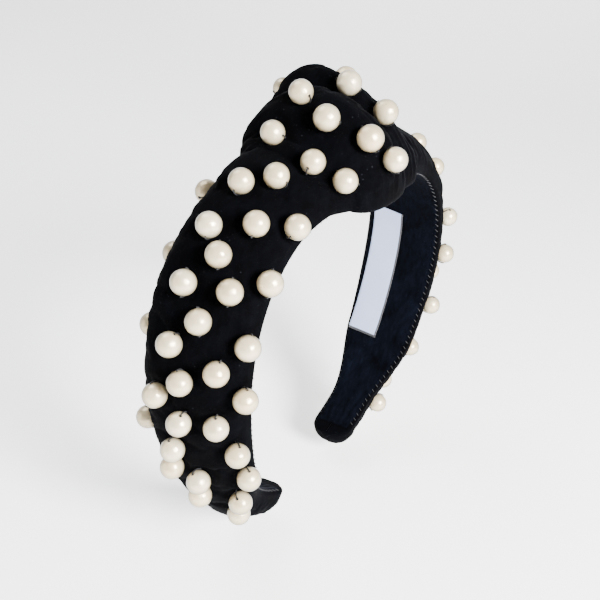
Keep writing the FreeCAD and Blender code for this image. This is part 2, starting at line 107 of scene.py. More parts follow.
# beads: centre and the direction out of the cloth, as in the CAD (mm)
BEADS = np.array([
    (-30.38, -10.15, 11.72, -0.221, -0.328, 0.919),
    (-43.18, -5.70, 9.12, -0.407, -0.238, 0.882),
    (30.00, 19.39, 10.38, 0.256, 0.668, 0.699),
    (3.19, -0.72, 29.03, -0.448, -0.377, 0.810),
    (6.36, -14.05, 21.78, -0.106, -0.627, 0.771),
    (14.18, 32.28, 18.61, 0.406, 0.840, 0.360),
    (20.02, 10.19, 25.96, 0.861, -0.052, 0.506),
    (4.67, 34.88, 5.14, -0.178, 0.982, -0.070),
    (-17.31, 4.80, 27.99, -0.536, 0.080, 0.841),
    (-21.39, -7.91, 23.29, -0.731, -0.230, 0.642),
    (-16.67, -21.51, 19.16, -0.389, -0.607, 0.693),
    (-10.52, -28.04, 12.65, -0.094, -0.862, 0.498),
    (-26.46, -20.01, 7.31, -0.896, -0.335, 0.291),
    (-27.54, 7.43, 16.07, -0.853, 0.027, 0.521),
    (-6.56, 28.39, 4.13, 0.024, 0.997, -0.078),
    (-78.27, 1.37, -75.57, -0.960, -0.080, -0.269),
    (-70.52, -18.21, -72.48, -0.604, -0.776, -0.185),
    (-73.05, -5.58, -88.06, -0.917, -0.241, -0.317),
    (-64.25, -19.06, -85.13, -0.428, -0.884, -0.191),
    (-62.46, -15.39, -98.30, -0.551, -0.727, -0.410),
    (-68.47, 20.68, -77.08, -0.207, 0.970, -0.128),
    (-75.51, 3.66, -85.22, -0.948, -0.044, -0.315),
    (-69.92, -4.02, -96.46, -0.878, -0.227, -0.422),
    (-58.58, -12.39, -107.28, -0.517, -0.693, -0.502),
    (-80.87, 1.82, -35.91, -0.979, -0.080, 0.185),
    (-70.80, -19.23, -33.05, -0.576, -0.805, 0.145),
    (-77.50, -13.37, -41.27, -0.886, -0.458, 0.075),
    (-81.37, -3.03, -47.12, -0.978, -0.204, 0.044),
    (-81.91, 6.04, -55.09, -0.996, 0.000, -0.085),
    (-71.28, -20.15, -50.79, -0.488, -0.873, -0.008),
    (-80.46, -2.53, -62.49, -0.972, -0.156, -0.176),
    (-76.66, -13.91, -60.86, -0.864, -0.493, -0.100),
    (-66.90, 21.03, -42.22, 0.588, 0.805, -0.078),
    (-50.49, 1.79, 7.14, -0.505, -0.065, 0.860),
    (-64.18, 2.35, -3.04, -0.683, -0.097, 0.724),
    (-57.69, -9.75, -0.89, -0.611, -0.355, 0.708),
    (-48.80, -18.29, -1.95, -0.322, -0.792, 0.519),
    (-68.14, -4.65, -8.94, -0.786, -0.235, 0.571),
    (-75.00, 2.15, -17.79, -0.888, -0.070, 0.454),
    (-70.94, -11.62, -17.53, -0.795, -0.413, 0.444),
    (-61.96, -19.18, -15.39, -0.426, -0.848, 0.315),
    (-77.38, -5.79, -26.83, -0.910, -0.274, 0.310),
    (-42.12, 20.88, -3.72, 0.081, 0.957, -0.278),
    (-58.12, 19.88, -19.83, 0.644, 0.654, -0.397),
    (71.32, -16.94, -74.77, 0.693, -0.696, -0.190),
    (66.50, -12.80, -95.77, 0.773, -0.512, -0.375),
    (49.99, -8.85, -119.35, 0.445, -0.656, -0.610),
    (77.79, -0.00, -76.81, 0.958, -0.124, -0.258),
    (73.28, -8.50, -84.71, 0.898, -0.313, -0.309),
    (73.12, 6.93, -91.45, 0.923, 0.093, -0.373),
    (68.95, -1.58, -99.60, 0.882, -0.146, -0.448),
    (65.68, 13.07, -102.34, 0.697, 0.523, -0.491),
    (63.01, 4.58, -110.22, 0.809, 0.087, -0.582),
    (59.38, -5.55, -112.68, 0.737, -0.358, -0.573),
    (52.92, 0.98, -121.92, 0.687, -0.050, -0.725),
    (39.81, 6.62, -130.50, 0.475, 0.432, -0.766),
    (74.55, -15.89, -34.26, 0.778, -0.612, 0.140),
    (74.94, -17.40, -50.94, 0.728, -0.685, -0.031),
    (78.51, 0.35, -27.12, 0.948, -0.095, 0.305),
    (72.25, 20.98, -35.01, 0.302, 0.951, 0.065),
    (79.15, -7.52, -36.65, 0.944, -0.289, 0.160),
    (81.89, 7.16, -43.99, 0.996, 0.063, 0.063),
    (81.28, -2.15, -54.27, 0.986, -0.166, -0.013),
    (77.84, -11.16, -62.20, 0.919, -0.371, -0.133),
    (80.10, 7.41, -67.97, 0.981, 0.042, -0.190),
    (64.28, -1.06, -3.66, 0.707, -0.102, 0.700),
    (66.12, 7.42, -5.10, 0.738, 0.068, 0.671),
    (70.00, -8.07, -13.45, 0.779, -0.338, 0.529),
    (75.26, -5.86, -21.84, 0.875, -0.284, 0.392),
    (49.60, 16.54, 4.15, 0.391, 0.600, 0.698),
    (70.68, 2.59, -10.83, 0.818, -0.038, 0.574),
    (62.14, 20.47, -13.32, 0.249, 0.948, 0.197),
    (75.65, 10.87, -20.38, 0.887, 0.180, 0.425),

])


# ------------------------------------------------------------------ grids and smooth noise
def lattice_noise(seed, n=24):
    g = np.random.default_rng(seed).standard_normal((n, n, n))

    def f(p, pitch):
        q = np.asarray(p, float) / pitch + 1000.0
        i = np.floor(q).astype(int)
        t = q - i
        t = t * t * (3 - 2 * t)
        out = 0
        for dx in (0, 1):
            for dy in (0, 1):
                for dz in (0, 1):
                    w = ((t[..., 0] if dx else 1 - t[..., 0]) * (t[..., 1] if dy else 1 - t[..., 1])
                         * (t[..., 2] if dz else 1 - t[..., 2]))
                    out = out + w * g[(i[..., 0] + dx) % n, (i[..., 1] + dy) % n, (i[..., 2] + dz) % n]
        return out
    return f


def grid_normals(P):
    du = np.gradient(P, axis=0)
    dv = np.gradient(P, axis=1)
    n = np.cross(du, dv)
    n /= np.linalg.norm(n, axis=-1, keepdims=True) + 1e-12
    return n


def orient(P, n, centre=None):
    """Returns the normals n unchanged."""
    return n


def mesh_from_grid(name, P, flip=False, close_v=False):
    """P is (rows, columns, 3) in mm."""
    r, c, _ = P.shape
    verts = (P.reshape(-1, 3) * MM).tolist()
    faces = []
    cols = c if close_v else c - 1
    for i in range(r - 1):
        for j in range(cols):
            k = (j + 1) % c
            f = (i * c + j, i * c + k, (i + 1) * c + k, (i + 1) * c + j)
            faces.append(f if flip else tuple(reversed(f)))
    me = bpy.data.meshes.new(name)
    me.from_pydata(verts, [], faces)
    me.update()
    uv = me.uv_layers.new(name="cloth")
    # lengths along and across in metres, so the weave keeps its scale
    along = np.concatenate([[0], np.cumsum(np.linalg.norm(np.diff(P[:, c // 2], axis=0), axis=1))]) * MM
    across = np.concatenate([[0], np.cumsum(np.linalg.norm(np.diff(P[r // 2], axis=0), axis=1))]) * MM
    loops = np.zeros((len(me.loops), 2))
    vi = np.zeros(len(me.loops), int)
    me.loops.foreach_get("vertex_index", vi)
    loops[:, 0] = across[vi % c]
    loops[:, 1] = along[vi // c]
    uv.data.foreach_set("uv", loops.ravel())
    for p in me.polygons:
        p.use_smooth = True
    ob = bpy.data.objects.new(name, me)
    bpy.context.scene.collection.objects.link(ob)
    return ob


def facing_flip(P, inside):
    """True when the grid's faces look towards the point 'inside'."""
    n = grid_normals(P)
    m = P - np.asarray(inside)
    return float((n * m).sum()) < 0


def stitch_dimples(P, N, depth=0.32, reach=5.2):
    """The cloth is drawn down round each bead by its thread."""
    Q = P.reshape(-1, 3)
    d = np.zeros(len(Q))
    feet = BEADS[:, :3] - BEADS[:, 3:] * 3.7
    for f in feet:
        near = np.abs(Q - f).max(axis=1) < reach * 1.6
        if not near.any():
            continue
        r = np.linalg.norm(Q[near] - f, axis=1)
        d[near] = np.minimum(d[near], -depth * np.exp(-((r - 2.6) / (reach * 0.42)) ** 2))
    return P + N * d.reshape(P.shape[:2])[..., None]


# ------------------------------------------------------------------ the velvet cover of one side, from under the knot to the tip
def cover_grid(sign, a0, a1, rows, cols):
    P = np.zeros((rows, cols, 3))
    hem = 8
    cap = 5
    body = rows - cap
    for i in range(body):
        t = i / (body - 1)
        angle = sign * (a0 + (a1 - a0) * t)
        tip = (abs(angle) - 153.5) / (161.3 - 153.5)
        sw = sh = 1.0
        if tip > 0:
            u = min(tip, 1.0)
            sw = math.sqrt(max(0.02, 1 - 0.80 * u ** 3.2))
            sh = math.sqrt(max(0.03, 1 - 0.90 * u ** 2.6))
        # beyond the end of the lining the cloth closes right across the inner face
        close = step(151.5, 155.5, abs(angle))
        for j in range(cols):
            if j < hem or j >= cols - hem:
                k = j if j < hem else cols - 1 - j
                s = -1 if j < hem else 1
                hw = width(angle) / 2.0 * sw
                tuck = [(4.2, -1.7), (3.2, -1.85), (2.2, -1.95), (1.5, -2.05), (0.9, -2.05), (0.25, -1.75), (-0.05, -1.1), (-0.08, -0.35)][k]
                shut = [(hw - 0.02, -2.35), (hw * 0.66, -2.38), (hw * 0.36, -2.36), (hw * 0.17, -2.28), (0.9, -2.12), (0.25, -1.75), (-0.05, -1.1), (-0.08, -0.35)][k]
                inset = tuck[0] * (1 - close) + shut[0] * close
                off = tuck[1] * (1 - close) + shut[1] * close
                P[i, j] = point(angle, s * (hw - inset), off)
            else:
                th = math.pi * (j - hem) / (cols - 1 - 2 * hem)
                y, off = dome(angle, -math.cos(th), sw, sh)
                P[i, j] = point(angle, y, off)
    last = P[body - 1]
    mid = last[:, :].mean(axis=0)
    out = last.mean(axis=0) - P[body - 4].mean(axis=0)
    out /= np.linalg.norm(out)
    for k in range(cap):
        f = 1 - (k + 1) / cap
        P[body + k] = mid + (last - mid) * max(f, 0.004) + out * 0.9 * math.sqrt(1 - f * f)
    return P


# ------------------------------------------------------------------ the two lobes of the knot
LOBES = {
    "near": dict(x=-8.3, hx=14.4, foot=1.9, h=21.9, hy=26.3, sy=-1.6, lean=0.0),
    "far": dict(x=8.2, hx=11.0, foot=1.3, h=23.0, hy=28.0, sy=3.5, lean=0.3),
}
LEAST = 2.2


def lobe_point(prefix, angle, th, least, fillet=4.5):
    q = LOBES[prefix]
    hw = width(angle) / 2.0
    x = station(angle)[0]
    u = (x - q["x"]) / q["hx"]
    swell = math.sqrt(max(0.0, 1 - u * u))
    base = PS + PT + least
    peak = q["foot"] + q["h"] * swell
    top = smax(peak, base, fillet) if abs(u) < 1.0 else smax(q["foot"], base, fillet)
    half = hw + least + max(0.0, q["hy"] - hw - LEAST) * swell
    mid = q["sy"] * swell
    lean = q["lean"] * swell
    c = -math.cos(th)
    rise = top * max(math.sin(th), 0.0) * (1 + lean * c)
    floor = 0.0
    if abs(mid + half * c) < hw:
        v = abs(mid + half * c) / hw
        floor = PS * (1 - v ** 8) + PT * math.sqrt(1 - v * v) + least
    return mid + half * c, max(rise, floor), half, mid


def knot_grid(prefix, a0, a1, rows, cols, ramp):
    """ramp(angle) is the least thickness of the wrap over the band there, in mm."""
    P = np.zeros((rows, cols, 3))
    foot = 7
    for i in range(rows):
        angle = a0 + (a1 - a0) * i / (rows - 1)
        least = ramp(angle)
        for j in range(cols):
            if j < foot or j >= cols - foot:
                k = j if j < foot else cols - 1 - j
                s = -1 if j < foot else 1
                y, off, half, mid = lobe_point(prefix, angle, 0.0 if s < 0 else math.pi, least)
                edge = s * (half + s * mid)
                inset = [7.5, 5.2, 3.2, 1.7, 0.75, 0.2, 0.0][k]
                drop = [-2.55, -3.0, -3.2, -3.15, -2.75, -1.9, -0.8][k]
                P[i, j] = point(angle, mid + s * (half - inset), drop)
            else:
                th = math.pi * (j - foot) / (cols - 1 - 2 * foot)
                y, off, half, mid = lobe_point(prefix, angle, th, least)
                P[i, j] = point(angle, y, off)
    return P


# ------------------------------------------------------------------ cloth simulation of a padded fabric, ten times life size
def settle(ob, free, frames=16, pressure=3.0, grow=0.03, seed=1, low=-0.1, high=0.75):
    """ob's fabric is held where free is 0 and bulges and creases where it is 1. It stays within low..high mm of its pad."""
    me = ob.data
    n = len(me.vertices)
    rest = np.zeros(n * 3)
    me.vertices.foreach_get("co", rest)
    rest = rest.reshape(-1, 3)
    nor = np.zeros(n * 3)
    me.vertices.foreach_get("normal", nor)
    nor = nor.reshape(-1, 3)
    big = rest * 10.0
    me.vertices.foreach_set("co", big.ravel())
    me.update()
    vg = ob.vertex_groups.new(name="held")
    held = 1.0 - free
    for level in np.unique(np.round(held, 1)):
        idx = np.where(np.round(held, 1) == level)[0].tolist()
        if level > 0:
            vg.add(idx, float(level), "REPLACE")
    m = ob.modifiers.new("cloth", "CLOTH")
    s = m.settings
    s.quality = 6
    s.mass = 0.25
    s.tension_stiffness = 18
    s.compression_stiffness = 12
    s.shear_stiffness = 8
    s.bending_stiffness = 0.6
    s.tension_damping = 12
    s.compression_damping = 12
    s.shear_damping = 8
    s.bending_damping = 1.0
    s.air_damping = 4
    s.vertex_group_mass = "held"
    s.pin_stiffness = 1.0
    s.use_pressure = True
    s.uniform_pressure_force = pressure
    s.shrink_min = -grow
    s.effector_weights.gravity = 0.0
    m.collision_settings.use_collision = False
    m.collision_settings.use_self_collision = False
    m.point_cache.frame_start = 1
    m.point_cache.frame_end = frames
    scene = bpy.context.scene
    for f in range(1, frames + 1):
        scene.frame_set(f)
    dg = bpy.context.evaluated_depsgraph_get()
    ev = ob.evaluated_get(dg)
    out = np.zeros(n * 3)
    ev.data.vertices.foreach_get("co", out)
    out = out.reshape(-1, 3) / 10.0
    ob.modifiers.remove(m)
    ob.vertex_groups.remove(vg)
    scene.frame_set(1)
    move = out - rest
    bad = ~np.isfinite(move).all(axis=1)
    move[bad] = 0
    along = (move * nor).sum(axis=1)
    side = move - nor * along[:, None]
    along = np.clip(along, low * MM, high * MM)
    size = np.linalg.norm(side, axis=1)
    side *= (np.minimum(size, 0.5 * MM) / (size + 1e-12))[:, None]
    print("settled", ob.name, "mean %.3f mm, least %.3f, most %.3f" % (along.mean() / MM, along.min() / MM, along.max() / MM))
    me.vertices.foreach_set("co", (rest + side + nor * along[:, None]).ravel())
    me.update()


def free_weights(P, keep_edges=8, ends=4):
    r, c, _ = P.shape
    w = np.ones((r, c))
    for j in range(c):
        k = min(j, c - 1 - j)
        w[:, j] = min(1.0, max(0.0, (k - keep_edges) / 5.0))
    for i in range(r):
        k = min(i, r - 1 - i)
        w[i] *= min(1.0, max(0.0, (k - ends) / 6.0))
    feet = BEADS[:, :3] - BEADS[:, 3:] * 3.7
    Q = P.reshape(-1, 3)
    f = w.reshape(-1)
    for q in feet:
        near = np.abs(Q - q).max(axis=1) < 4.0
        if near.any():
            r_ = np.linalg.norm(Q[near] - q, axis=1)
            f[near] = np.minimum(f[near], np.clip((r_ - 1.6) / 2.2, 0.0, 1.0))
    return f


wave = lattice_noise(11)
fine = lattice_noise(12)


def creases(P, N, angle_dir, amount, pitch_along, pitch_across, seed_shift=0.0):
    """Long shallow folds: noise stretched along one way of the cloth, plus small dents."""
    r, c, _ = P.shape
    along = np.concatenate([[0], np.cumsum(np.linalg.norm(np.diff(P[:, c // 2], axis=0), axis=1))])
    across = np.concatenate([[0], np.cumsum(np.linalg.norm(np.diff(P[r // 2], axis=0), axis=1))])
    A, B = np.meshgrid(along, across, indexing="ij")
    ca, sa = math.cos(angle_dir), math.sin(angle_dir)
    u, v = A * ca + B * sa, -A * sa + B * ca
    q = np.stack([u / pitch_along + seed_shift, v / pitch_across + 2.7 * seed_shift, np.full_like(u, seed_shift)], -1)
    n1 = wave(q, 1.0)
    ridge = 1.0 - 2.0 * np.abs(np.clip(n1, -1, 1))
    n2 = fine(q * 2.3 + 5.1, 1.0)
    return np.clip(amount * (0.3 + 0.7 * n1 + 0.45 * ridge * (n2 > -0.3) + 0.25 * n2), -0.1, 0.6)


def edge_fade(P, edge=7, end=2):
    r, c, _ = P.shape
    j = np.minimum(np.arange(c), c - 1 - np.arange(c))
    i = np.minimum(np.arange(r), r - 1 - np.arange(r))
    return np.clip((j - edge) / 6.0, 0, 1)[None, :] * np.clip((i - end) / 5.0, 0.0, 1)[:, None]


# ------------------------------------------------------------------ materials
def new_material(name):
    m = bpy.data.materials.new(name)
    m.use_nodes = True
    t = m.node_tree
    t.nodes.clear()
    out = t.nodes.new("ShaderNodeOutputMaterial")
    b = t.nodes.new("ShaderNodeBsdfPrincipled")
    t.links.new(b.outputs[0], out.inputs[0])
    return m, t, b


def node(t, kind, **values):
    n = t.nodes.new(kind)
    for k, v in values.items():
        if k.startswith("_"):
            setattr(n, k[1:], v)
        else:
            n.inputs[k.replace("__", " ")].default_value = v
    return n


def ramp(t, source, stops):
    n = t.nodes.new("ShaderNodeValToRGB")
    t.links.new(source, n.inputs[0])
    e = n.color_ramp.elements
    while len(e) < len(stops):
        e.new(0.5)
    for el, (p, c) in zip(e, stops):
        el.position = p
        el.color = c if len(c) == 4 else (*c, 1)
    return n.outputs[0]


def velvet(name, dark, light, sheen, bump=0.35, lint=0.5, shift=0.0):
    m, t, b = new_material(name)
    tc = t.nodes.new("ShaderNodeTexCoord")
    co = tc.outputs["Object"]
    b.inputs["Roughness"].default_value = 0.95
    b.inputs["Specular IOR Level"].default_value = 0.02
    b.inputs["Sheen Weight"].default_value = sheen
    b.inputs["Sheen Roughness"].default_value = 0.34
    b.inputs["Sheen Tint"].default_value = (0.62, 0.68, 0.9, 1)
    # the pile lies in soft patches
    big = node(t, "ShaderNodeTexNoise", Scale=70.0, Detail=5.0, Roughness=0.62, Distortion=0.6)
    t.links.new(co, big.inputs["Vector"])
    streak_map = node(t, "ShaderNodeMapping")
    streak_map.inputs["Scale"].default_value = (1.0, 2.2, 1.0)
    t.links.new(co, streak_map.inputs[0])
    streak = node(t, "ShaderNodeTexNoise", Scale=260.0, Detail=3.0, Roughness=0.6)
    t.links.new(streak_map.outputs[0], streak.inputs["Vector"])
    mix = node(t, "ShaderNodeMix", _data_type="FLOAT", Factor=0.45)
    t.links.new(big.outputs[0], mix.inputs[2])
    t.links.new(streak.outputs[0], mix.inputs[3])
    col = ramp(t, mix.outputs[0], [(0.36, dark), (0.56, tuple(0.55 * a + 0.45 * c for a, c in zip(dark, light))), (0.72, light)])
    # lint caught in the pile: sparse pale specks
    vor = node(t, "ShaderNodeTexVoronoi", Scale=620.0, Randomness=1.0)
    t.links.new(co, vor.inputs["Vector"])
    speck = ramp(t, vor.outputs["Distance"], [(0.055, (1, 1, 1)), (0.13, (0, 0, 0))])
    rare = node(t, "ShaderNodeTexNoise", Scale=150.0, Detail=2.0)
    t.links.new(co, rare.inputs["Vector"])
    where = ramp(t, rare.outputs[0], [(0.56, (0, 0, 0)), (0.66, (1, 1, 1))])
    both = node(t, "ShaderNodeMath", _operation="MULTIPLY")
    t.links.new(speck, both.inputs[0])
    t.links.new(where, both.inputs[1])
    amount = node(t, "ShaderNodeMath", _operation="MULTIPLY")
    amount.inputs[1].default_value = lint
    t.links.new(both.outputs[0], amount.inputs[0])
    cm = node(t, "ShaderNodeMix", _data_type="RGBA")
    t.links.new(amount.outputs[0], cm.inputs[0])
    t.links.new(col, cm.inputs[6])
    cm.inputs[7].default_value = (0.03, 0.033, 0.042, 1)
    t.links.new(cm.outputs[2], b.inputs["Base Color"])
    rr = ramp(t, mix.outputs[0], [(0.3, (0.86, 0.86, 0.86)), (0.7, (1, 1, 1))])
    t.links.new(rr, b.inputs["Roughness"])
    # pile bump: very fine hairs over soft crushed patches
    pile = node(t, "ShaderNodeTexNoise", Scale=2600.0, Detail=2.0, Roughness=0.7)
    t.links.new(co, pile.inputs["Vector"])
    b1 = node(t, "ShaderNodeBump", Strength=bump, Distance=0.00012)
    t.links.new(pile.outputs[0], b1.inputs["Height"])
    b2 = node(t, "ShaderNodeBump", Strength=0.55, Distance=0.0006)
    t.links.new(mix.outputs[0], b2.inputs["Height"])
    t.links.new(b1.outputs[0], b2.inputs["Normal"])
    t.links.new(b2.outputs[0], b.inputs["Normal"])
    return m


def pearl_material():
    m, t, b = new_material("faux_pearl")
    geo = t.nodes.new("ShaderNodeNewGeometry")
    tc = t.nodes.new("ShaderNodeTexCoord")
    rnd = geo.outputs["Random Per Island"]
    # cream body, a little different from bead to bead
    tint = ramp(t, rnd, [(0.0, (0.62, 0.50, 0.31)), (0.35, (0.68, 0.575, 0.385)), (0.7, (0.60, 0.50, 0.325)), (1.0, (0.72, 0.63, 0.45))])
    cloud = node(t, "ShaderNodeTexNoise", Scale=230.0, Detail=3.0, Roughness=0.5)
    t.links.new(tc.outputs["Object"], cloud.inputs["Vector"])
    shade = ramp(t, cloud.outputs[0], [(0.35, (0.90, 0.84, 0.74)), (0.65, (1, 1, 1))])
    mul = node(t, "ShaderNodeMix", _data_type="RGBA", _blend_type="MULTIPLY")
    mul.inputs[0].default_value = 0.45
    t.links.new(tint, mul.inputs[6])
    t.links.new(shade, mul.inputs[7])
    # painted shade: the colour turns dark olive towards grazing angles, standing in for the shaded rim of each bead,
    # and stays warm cream where it faces the eye
    lw = node(t, "ShaderNodeLayerWeight", Blend=0.42)
    painted_rim_shade = ramp(t, lw.outputs["Facing"], [(0.22, (0, 0, 0)), (0.85, (1, 1, 1))])
    painted_rim_mix = node(t, "ShaderNodeMix", _data_type="RGBA")
    t.links.new(painted_rim_shade, painted_rim_mix.inputs[0])
    t.links.new(mul.outputs[2], painted_rim_mix.inputs[6])
    # painted shade: the dark olive colour of the bead rims
    painted_rim_mix.inputs[7].default_value = (0.115, 0.10, 0.06, 1)
    t.links.new(painted_rim_mix.outputs[2], b.inputs["Base Color"])
    b.inputs["Metallic"].default_value = 0.3
    b.inputs["Specular IOR Level"].default_value = 0.4
    b.inputs["Coat Weight"].default_value = 0.45
    b.inputs["Coat Roughness"].default_value = 0.2
    b.inputs["Coat IOR"].default_value = 1.35
    b.inputs["Subsurface Weight"].default_value = 0.12
    b.inputs["Subsurface Radius"].default_value = (0.0012, 0.0009, 0.0006)
    rough = ramp(t, cloud.outputs[0], [(0.3, (0.27, 0.27, 0.27)), (0.7, (0.38, 0.38, 0.38))])
    t.links.new(rough, b.inputs["Roughness"])
    dent = node(t, "ShaderNodeTexNoise", Scale=420.0, Detail=2.0)
    t.links.new(tc.outputs["Object"], dent.inputs["Vector"])
    grain = node(t, "ShaderNodeTexNoise", Scale=3200.0, Detail=1.0)
    t.links.new(tc.outputs["Object"], grain.inputs["Vector"])
    b1 = node(t, "ShaderNodeBump", Strength=0.28, Distance=0.0007)
    t.links.new(dent.outputs[0], b1.inputs["Height"])
    b2 = node(t, "ShaderNodeBump", Strength=0.07, Distance=0.00005)
    t.links.new(grain.outputs[0], b2.inputs["Height"])
    t.links.new(b1.outputs[0], b2.inputs["Normal"])
    t.links.new(b2.outputs[0], b.inputs["Normal"])
    return m


def woven(name, base, dark, scale, rough=0.75, sheen=0.1, bump=0.35):
    m, t, b = new_material(name)
    uv = t.nodes.new("ShaderNodeTexCoord")
    w1 = node(t, "ShaderNodeTexWave", Scale=scale, Distortion=0.4, _bands_direction="X")
    w2 = node(t, "ShaderNodeTexWave", Scale=scale, Distortion=0.4, _bands_direction="Y")
    for w in (w1, w2):
        t.links.new(uv.outputs["UV"], w.inputs["Vector"])
    mx = node(t, "ShaderNodeMath", _operation="MULTIPLY")
    t.links.new(w1.outputs["Fac"], mx.inputs[0])
    t.links.new(w2.outputs["Fac"], mx.inputs[1])
    nz = node(t, "ShaderNodeTexNoise", Scale=90.0, Detail=4.0)
    t.links.new(uv.outputs["UV"], nz.inputs["Vector"])
    mm_ = node(t, "ShaderNodeMix", _data_type="FLOAT", Factor=0.35)
    t.links.new(mx.outputs[0], mm_.inputs[2])
    t.links.new(nz.outputs[0], mm_.inputs[3])
    col = ramp(t, mm_.outputs[0], [(0.05, dark), (0.75, base)])
    t.links.new(col, b.inputs["Base Color"])
    b.inputs["Roughness"].default_value = rough
    b.inputs["Sheen Weight"].default_value = sheen
    b.inputs["Sheen Roughness"].default_value = 0.4
    bp = node(t, "ShaderNodeBump", Strength=bump, Distance=0.00012)
    t.links.new(mx.outputs[0], bp.inputs["Height"])
    t.links.new(bp.outputs[0], b.inputs["Normal"])
    return m


def label_material():
    """Pale satin weave, left blank, with a near-black strip along one long edge and one end."""
    m, t, b = new_material("label_weave")
    uv = t.nodes.new("ShaderNodeTexCoord")
    sep = t.nodes.new("ShaderNodeSeparateXYZ")
    t.links.new(uv.outputs["UV"], sep.inputs[0])
    w1 = node(t, "ShaderNodeTexWave", Scale=950.0, Distortion=0.3, _bands_direction="X")
    w2 = node(t, "ShaderNodeTexWave", Scale=600.0, Distortion=0.3, _bands_direction="Y")
    for w in (w1, w2):
        t.links.new(uv.outputs["UV"], w.inputs["Vector"])
    mx = node(t, "ShaderNodeMath", _operation="MULTIPLY")
    t.links.new(w1.outputs["Fac"], mx.inputs[0])
    t.links.new(w2.outputs["Fac"], mx.inputs[1])
    nz = node(t, "ShaderNodeTexNoise", Scale=60.0, Detail=3.0)
    t.links.new(uv.outputs["UV"], nz.inputs["Vector"])
    mm_ = node(t, "ShaderNodeMix", _data_type="FLOAT", Factor=0.5)
    t.links.new(mx.outputs[0], mm_.inputs[2])
    t.links.new(nz.outputs[0], mm_.inputs[3])
    pale = ramp(t, mm_.outputs[0], [(0.1, (0.30, 0.36, 0.56)), (0.7, (0.44, 0.52, 0.76))])
    lo = node(t, "ShaderNodeMath", _operation="LESS_THAN")
    lo.inputs[1].default_value = 0.0007
    t.links.new(sep.outputs[0], lo.inputs[0])
    hi = node(t, "ShaderNodeMath", _operation="GREATER_THAN")
    hi.inputs[1].default_value = LABEL_LENGTH - 0.0011
    t.links.new(sep.outputs[1], hi.inputs[0])
    edge = node(t, "ShaderNodeMath", _operation="MAXIMUM")
    t.links.new(lo.outputs[0], edge.inputs[0])
    t.links.new(hi.outputs[0], edge.inputs[1])
    cm = node(t, "ShaderNodeMix", _data_type="RGBA")
    t.links.new(edge.outputs[0], cm.inputs[0])
    t.links.new(pale, cm.inputs[6])
    cm.inputs[7].default_value = (0.012, 0.012, 0.016, 1)
    t.links.new(cm.outputs[2], b.inputs["Base Color"])
    b.inputs["Roughness"].default_value = 0.52
    b.inputs["Sheen Weight"].default_value = 0.15
    bp = node(t, "ShaderNodeBump", Strength=0.3, Distance=0.00008)
    t.links.new(mx.outputs[0], bp.inputs["Height"])
    t.links.new(bp.outputs[0], b.inputs["Normal"])
    return m


def simple_soft(name, dark, light, rough, scale, bump):
    m, t, b = new_material(name)
    tc = t.nodes.new("ShaderNodeTexCoord")
    nz = node(t, "ShaderNodeTexNoise", Scale=scale, Detail=4.0)
    t.links.new(tc.outputs["Object"], nz.inputs["Vector"])
    t.links.new(ramp(t, nz.outputs[0], [(0.35, dark), (0.65, light)]), b.inputs["Base Color"])
    b.inputs["Roughness"].default_value = rough
    bp = node(t, "ShaderNodeBump", Strength=bump, Distance=0.0002)
    t.links.new(nz.outputs[0], bp.inputs["Height"])
    t.links.new(bp.outputs[0], b.inputs["Normal"])
    return m


def dress(ob, mat):
    ob.data.materials.clear()
    ob.data.materials.append(mat)


VELVET = velvet("black_velvet", (0.0003, 0.0003, 0.0005), (0.0016, 0.0017, 0.0026), 0.006)
VELVET_KNOT = VELVET
LINING = velvet("navy_lining", (0.0004, 0.0005, 0.0011), (0.0030, 0.0042, 0.0085), 0.012, bump=0.3, lint=0.3)
PEARL = pearl_material()
THREAD = simple_soft("black_thread", (0.006, 0.006, 0.007), (0.02, 0.02, 0.022), 0.7, 2400.0, 0.5)
FOAM = simple_soft("open_foam", (0.45, 0.44, 0.4), (0.62, 0.61, 0.56), 0.9, 1500.0, 0.6)
PLASTIC = simple_soft("core_plastic", (0.02, 0.02, 0.02), (0.035, 0.035, 0.035), 0.45, 900.0, 0.15)

# ------------------------------------------------------------------ velvet covers of the two sides
inner_mid = (0.0, 0.0, -60.0)


def build_cover(side, sign):
    P = cover_grid(sign, 12.0, 161.3, 190, 70)
    N = grid_normals(P)
    if (N[:, 33] * (P[:, 33] - np.array(inner_mid))).sum() < 0:
        N = -N
        flip = True
    else:
        flip = False
    fade = edge_fade(P, 9, 3)
    d = creases(P, N, 0.5 * sign, 0.20, 15.0, 5.5, 3.0 + sign) * fade
    P = P + N * d[..., None]
    P = stitch_dimples(P, N)
    ob = mesh_from_grid("velvet_fabric_" + side, P, flip)
    settle(ob, free_weights(P, 10, 8), frames=14, pressure=2.2, grow=0.035)
    dress(ob, VELVET)
    return ob


cover_left = build_cover("left", -1)
cover_right = build_cover("right", 1)


